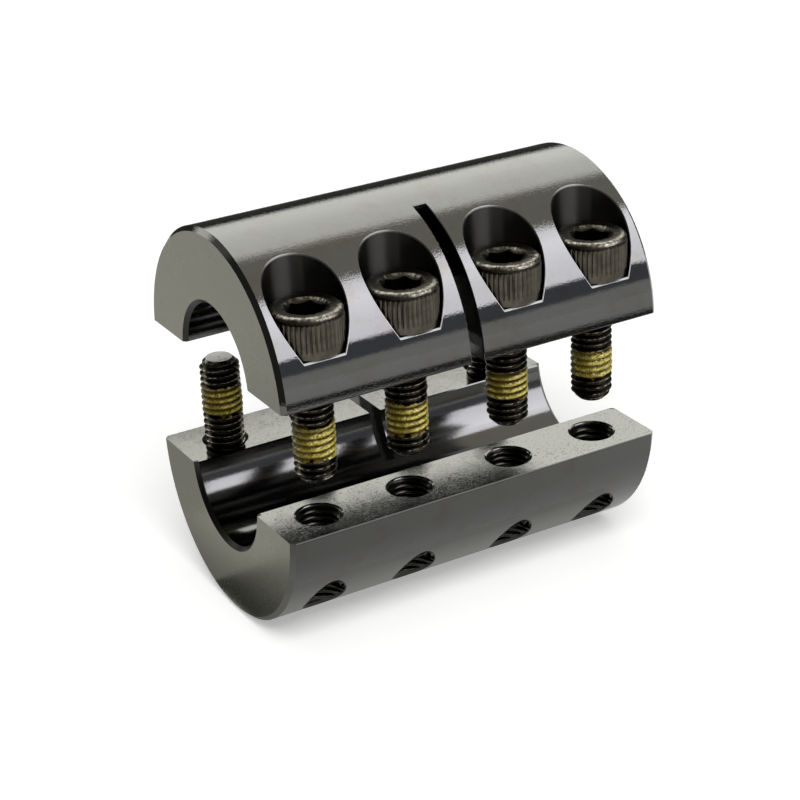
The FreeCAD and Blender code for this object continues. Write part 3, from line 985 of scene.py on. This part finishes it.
def put_screw(piece, name):
    """Moves a screw or its nylon from its own axis to where the CAD screw is, turned by its own amount."""
    low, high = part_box(name)
    piece.data.transform(Matrix.Rotation(math.radians(SCREW_STYLES[name].turn), 4, "Z"))
    if name.startswith("front"):
        piece.matrix_world = Matrix.Translation((*middle_of((low, high)), high.z - HEAD_HEIGHT))
    else:
        seat = Matrix.Translation((*middle_of((low, high)), low.z + HEAD_HEIGHT))
        piece.matrix_world = seat @ Matrix.Rotation(math.pi, 4, "X")


def dress_halves():
    """Gives each half its black oxide, and each tapped hole its thread."""
    threads = make_tapped_material()
    halves = (("upper", LIFT, False, "rear"), ("lower", 0.0, True, "front"))
    for half, axis_height, turned_over, row in halves:
        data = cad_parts[f"{half}_half"].data
        data.materials.clear()
        data.materials.append(make_half_material(f"{half}_half_black_oxide", axis_height, turned_over))
        for number in (1, 2, 3, 4):
            screw_name = f"{row}_screw_{number}"
            phase = PITCH * SCREW_STYLES[screw_name].turn / 360 - SEAT_HEIGHT
            thread = make_tapped_thread(f"{half}_tapped_thread_{number}", phase, threads)
            place = Matrix.Translation((*middle_of(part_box(screw_name)), axis_height))
            thread.matrix_world = place @ Matrix.Rotation(math.pi, 4, "X") if turned_over else place
            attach(thread, f"{half}_half")


def dress_screws():
    """Puts a detailed screw and its nylon in place of each CAD screw and patch."""
    steel = make_screw_material()
    nylon = make_nylon_material()
    for name in SCREW_STYLES:
        patch_name = name.replace("screw", "patch")
        screw = make_screw(name, steel)
        put_screw(screw, name)
        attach(screw, name)
        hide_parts(name)
        patch = make_patch(patch_name, name, nylon)
        put_screw(patch, name)
        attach(patch, name)
        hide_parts(patch_name)


# Studio

FLOOR_WIDTH = 3.0
FLOOR_COLOUR = (0.84, 0.84, 0.83, 1)
FLOOR_WHITE = (1, 1, 0.99)
FLOOR_GLOW = 0.37
FLOOR_GLOW_IN_STEEL = 0.06
WORLD_LIGHT = 0.16
LAMP_TARGET = Vector((0, 0, 0.008))
ROOM_RADIUS = 2.0
ROOM_GREY = (0.30, 0.30, 0.29)
DARK_FLAG = (0.05, 0.05, 0.045)

# Lamps: azimuth, elevation, width, height, radiance, distance
LAMPS = {
    "key_lamp": (200, 52, 1.5, 1.2, 8.4, 2.5),
    "overhead_lamp": (0, 86, 2.6, 2.6, 0.50, 2.0),
}

# Upright panels: azimuths of both sides, azimuth that they face, distance, heights of foot and top, light,
# and where the foot is dimmer its share of the light and the share of the height where the light is full
UPRIGHT_PANELS = {
    "back_panel": ((-29, 66), 0, 0.5, (0.15, 1.40), (2.50, 2.51, 2.38), 0.72, 0.2),
    "front_panel": ((110, 166), 150, 0.5, (0.185, 0.62), (4.72, 4.69, 5.02), 0.80, 1.0),
    "front_panel_top": ((110, 166), 150, 0.5, (0.62, 0.89), (4.10, 4.07, 4.36)),
    "front_strip": ((100, 175), 150, 0.55, (0.085, 0.19), (0.23, 0.24, 0.28)),
    "front_wall": ((90, 230), 160, 1.2, (-0.10, 0.16), (0.78, 0.79, 0.76)),
    "back_flag": ((-20, 66), 0, 0.18, (FLOOR, 0.081), DARK_FLAG),
}

# Flags beside the object, shades just above the table and a card overhead: one corner, the edges across and
# upward, light, and where they aren't plain the same two shares and the soft border
FLAT_PANELS = {
    "right_flag": ((0.16, -0.03, FLOOR), (0, 0.21, 0), (0, 0, 0.10), DARK_FLAG),
    "left_flag": ((-0.13, -0.24, FLOOR), (0, 0.32, 0), (0, 0, 0.34), (0.07, 0.07, 0.065)),
    "table_seam": ((-0.2704, -0.2538, FLOOR + 0.0003), (0.712, 0.237, 0), (-0.0095, 0.0285, 0),
                   (0.06, 0.06, 0.055)),
    "end_shade": ((-0.0255, -0.012, FLOOR + 0.0002), (0, 0.019, 0), (-0.0155, 0, 0), (0.62, 0.62, 0.60),
                  0.10),
    "end_shade_rear": ((-0.0255, 0.007, FLOOR + 0.0002), (0, 0.028, 0), (-0.0115, 0, 0), (0.95, 0.95, 0.92),
                       0.35),
    "rear_shade": ((-0.055, 0.024, FLOOR + 0.0003), (0.030, 0, 0), (0, 0.036, 0), (0.54, 0.54, 0.52)),
    "front_shade": ((-0.085, -0.056, FLOOR + 0.0002), (0, 0.044, 0), (0.15, 0, 0), (0.66, 0.66, 0.63),
                    0.62, 1.0, 0.35),
    # painted shade: a sheet on the floor in front, darkest towards the contact, which only the metal mirrors
    "front_foot_shade": ((-0.06, -0.004, FLOOR + 0.0004), (0.084, 0, 0), (0, -0.013, 0), (0.63, 0.63, 0.60), 0.22,
                   0.75),
    "ceiling_card": ((-0.6, -0.21, 0.62), (1.3, 0, 0), (0, 0.425, 0), (0.68, 0.66, 0.57)),
}


def direction(azimuth, elevation):
    """A unit vector: azimuth in degrees from +Y towards +X, elevation in degrees above the floor."""
    turn, tilt = math.radians(azimuth), math.radians(elevation)
    return Vector((math.sin(turn) * math.cos(tilt), math.cos(turn) * math.cos(tilt), math.sin(tilt)))


def add_glow(tree, light):
    """A shader that shines in this colour."""
    glow = add_node(tree, "Emission")
    glow.inputs["Color"].default_value = (*light, 1)
    return glow


def make_floor():
    """A pale floor that keeps the object's shadow and shows as white where the light falls on it."""
    material, tree, surface = empty_material("pale_floor")
    diffuse = add_node(tree, "BsdfDiffuse")
    diffuse.inputs["Color"].default_value = FLOOR_COLOUR
    glow = add_glow(tree, FLOOR_WHITE)
    path = add_node(tree, "LightPath").outputs
    plain = largest(tree, path["Is Camera Ray"], path["Is Transmission Ray"])
    mirrored = product(tree, path["Is Glossy Ray"], FLOOR_GLOW_IN_STEEL)
    plug(tree, largest(tree, product(tree, plain, FLOOR_GLOW), mirrored), glow.inputs["Strength"])
    both = add_node(tree, "AddShader")
    plug_all(tree, both.inputs, {0: diffuse.outputs[0], 1: glow.outputs[0]})
    plug(tree, both.outputs[0], surface)
    mesh = bmesh.new()
    bmesh.ops.create_grid(mesh, x_segments=1, y_segments=1, size=FLOOR_WIDTH / 2)
    floor = add_mesh_object(mesh, "floor", material)
    floor.location = (0, 0, FLOOR)


def make_world():
    """White to the camera and to metal, and a soft even light on everything else."""
    world = bpy.data.worlds.new("studio")
    world.use_nodes = True
    tree = world.node_tree
    tree.nodes.clear()
    path = add_node(tree, "LightPath").outputs
    seen = largest(tree, path["Is Glossy Ray"], path["Is Transmission Ray"], path["Is Camera Ray"])
    background = add_node(tree, "Background")
    background.inputs["Color"].default_value = (1, 1, 1, 1)
    plug(tree, remap(tree, seen, WORLD_LIGHT, 1.0), background.inputs["Strength"])
    plug(tree, background.outputs[0], add_node(tree, "OutputWorld").inputs["Surface"])
    bpy.context.scene.world = world


def make_lamp(name, azimuth, elevation, width, height, radiance, distance):
    """A soft lamp for everything but mirror reflections, which the panels give."""
    data = bpy.data.lights.new(name, "AREA")
    data.shape = "RECTANGLE"
    data.size = width
    data.size_y = height
    data.energy = radiance * math.pi * width * height
    lamp = add_object(name, data)
    place = direction(azimuth, elevation) * distance
    facing = (place - LAMP_TARGET).to_track_quat("Z", "Y").to_matrix().to_4x4()
    lamp.matrix_world = Matrix.Translation(place) @ facing
    lamp.visible_camera = False
    lamp.visible_glossy = False


def show_in_metal_only(thing):
    """Leaves a part of the stage to mirror reflections alone."""
    thing.visible_camera = False
    thing.visible_diffuse = False
    thing.visible_shadow = False
    thing.visible_transmission = False


def soft_border(tree, share, soft):
    """One inside, falling to zero at both ends of a share that runs from zero to one."""
    return product(tree, fade(tree, share, 0.0, soft), fade(tree, share, 1.0, 1.0 - soft))


def make_panel(name, corner, across, upward, light, foot_share=1.0, full_at=1.0, soft=0.0):
    """A flat panel that only shines in the metal, from one corner along two edges.

    Its light rises from foot_share of the whole at its foot to the whole at full_at of the way up. A soft
    border lets through what is behind it.
    """
    material, tree, surface = empty_material(name)
    glow = add_glow(tree, light)
    width_share, share, _ = split_vector(tree, add_node(tree, "TexCoord").outputs["UV"])
    plug(tree, remap(tree, fade(tree, share, -0.02, full_at), foot_share, 1.0), glow.inputs["Strength"])
    if soft:
        mixed = add_node(tree, "MixShader")
        inner = product(tree, soft_border(tree, width_share, soft), soft_border(tree, share, soft))
        clear = add_node(tree, "BsdfTransparent").outputs[0]
        plug_all(tree, mixed.inputs, {0: inner, 1: clear, 2: glow.outputs[0]})
        plug(tree, mixed.outputs[0], surface)
    else:
        plug(tree, glow.outputs[0], surface)
    mesh = bmesh.new()
    layer = mesh.loops.layers.uv.new("place")
    places = ((0, 0), (1, 0), (1, 1), (0, 1))
    face = mesh.faces.new(add_ring(mesh, [Vector(corner) + u * Vector(across) + v * Vector(upward)
                                          for u, v in places]))
    for loop, place in zip(face.loops, places):
        loop[layer].uv = place
    show_in_metal_only(add_mesh_object(mesh, name, material))


def make_upright_panel(name, azimuths, facing, distance, heights, light, foot_share=1.0, full_at=1.0):
    """An upright panel that faces the object across the given azimuths, between two heights."""
    sideways = direction(facing + 90, 0)
    start, end = (distance * math.tan(math.radians(azimuth - facing)) for azimuth in azimuths)
    foot, top = heights
    corner = direction(facing, 0) * distance + sideways * start + Vector((0, 0, foot))
    make_panel(name, corner, sideways * (end - start), (0, 0, top - foot), light, foot_share, full_at)


def make_room():
    """The walls of a dim room far around the object, which only the metal mirrors."""
    material, tree, surface = empty_material("grey_room")
    plug(tree, add_glow(tree, ROOM_GREY).outputs[0], surface)
    mesh = bmesh.new()
    bmesh.ops.create_uvsphere(mesh, u_segments=24, v_segments=12, radius=ROOM_RADIUS)
    show_in_metal_only(add_mesh_object(mesh, "grey_room", material))


def make_studio():
    """Soft lamps, and what the glossy steel mirrors: two bright panels, dark flags and grey walls."""
    make_world()
    make_floor()
    for name, settings in LAMPS.items():
        make_lamp(name, *settings)
    for name, settings in UPRIGHT_PANELS.items():
        make_upright_panel(name, *settings)
    for name, settings in FLAT_PANELS.items():
        make_panel(name, *settings)
    make_room()


make_camera()
make_studio()
dress_halves()
dress_screws()
bpy.context.scene.view_settings.view_transform = "Standard"
